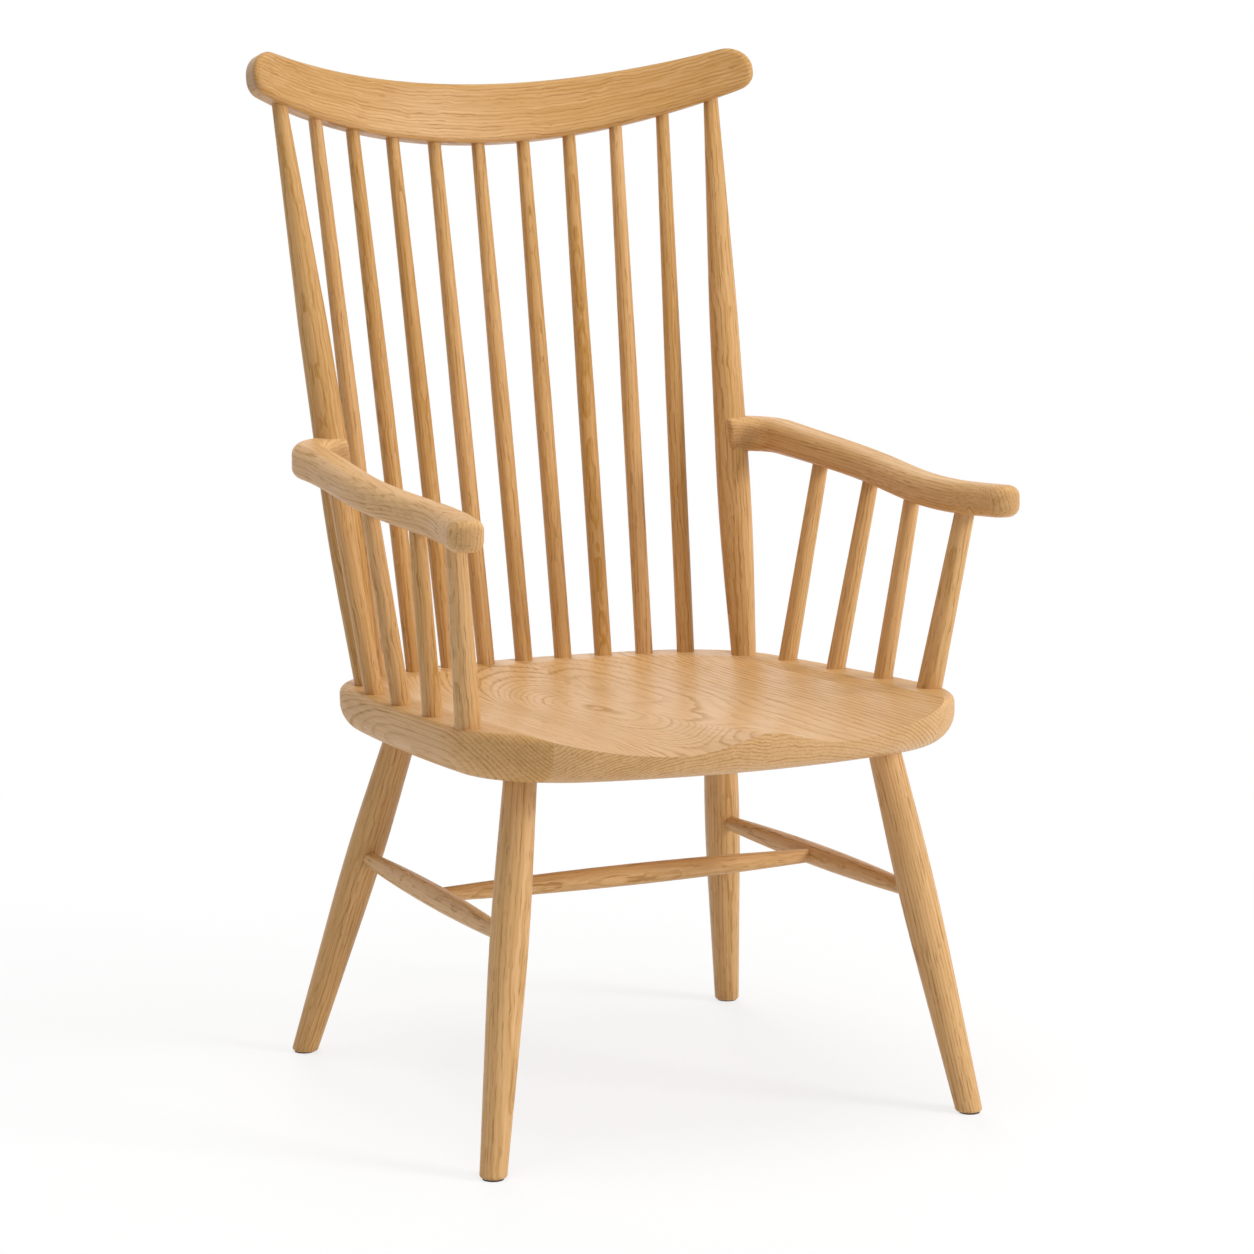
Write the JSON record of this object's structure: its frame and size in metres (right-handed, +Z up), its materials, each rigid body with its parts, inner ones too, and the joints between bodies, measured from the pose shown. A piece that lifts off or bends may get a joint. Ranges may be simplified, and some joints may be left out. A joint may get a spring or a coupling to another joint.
{
  "type": "spindle back armchair",
  "caption": "Wooden armchair for one sitter: saddle seat on splayed turned legs with an H stretcher, raked spindle back under a bowed crest rail, hooked arms on sticks.",
  "frame": {"origin": "on the floor, under the middle of the bounding box", "axes": "+Z up, -Y to the front of the seat, +X to the right for someone who looks at the front of the chair"},
  "size_m": [0.6224, 0.716, 1.0706],
  "materials": {
    "seat_oak": "light oak, satin",
    "crest_oak": "light oak, satin",
    "arm_oak": "light oak, satin",
    "turned_oak": "light oak, satin",
    "glide_plastic": "dark, dull"
  },
  "bodies": {
    "root": {"arm_dowel_left": "turned_oak", "arm_dowel_right": "turned_oak", "arm_left": "arm_oak", "arm_post_left": "turned_oak", "arm_post_right": "turned_oak", "arm_right": "arm_oak", "arm_spindle_1_left": "turned_oak", "arm_spindle_1_right": "turned_oak", "arm_spindle_2_left": "turned_oak", "arm_spindle_2_right": "turned_oak", "arm_spindle_3_left": "turned_oak", "arm_spindle_3_right": "turned_oak", "back_foot_glide_left": "glide_plastic", "back_foot_glide_right": "glide_plastic", "back_leg_left": "turned_oak", "back_leg_right": "turned_oak", "back_spindle_1": "turned_oak", "back_spindle_2": "turned_oak", "back_spindle_3": "turned_oak", "back_spindle_4": "turned_oak", "back_spindle_5": "turned_oak", "back_spindle_6": "turned_oak", "back_spindle_7": "turned_oak", "back_spindle_8": "turned_oak", "back_spindle_9": "turned_oak", "back_stile_left": "turned_oak", "back_stile_right": "turned_oak", "crest_rail": "crest_oak", "cross_stretcher": "turned_oak", "front_foot_glide_left": "glide_plastic", "front_foot_glide_right": "glide_plastic", "front_leg_left": "turned_oak", "front_leg_right": "turned_oak", "seat_board_left_inner": "seat_oak", "seat_board_left_outer": "seat_oak", "seat_board_right_inner": "seat_oak", "seat_board_right_outer": "seat_oak", "side_stretcher_left": "turned_oak", "side_stretcher_right": "turned_oak"}
  },
  "joints": []
}
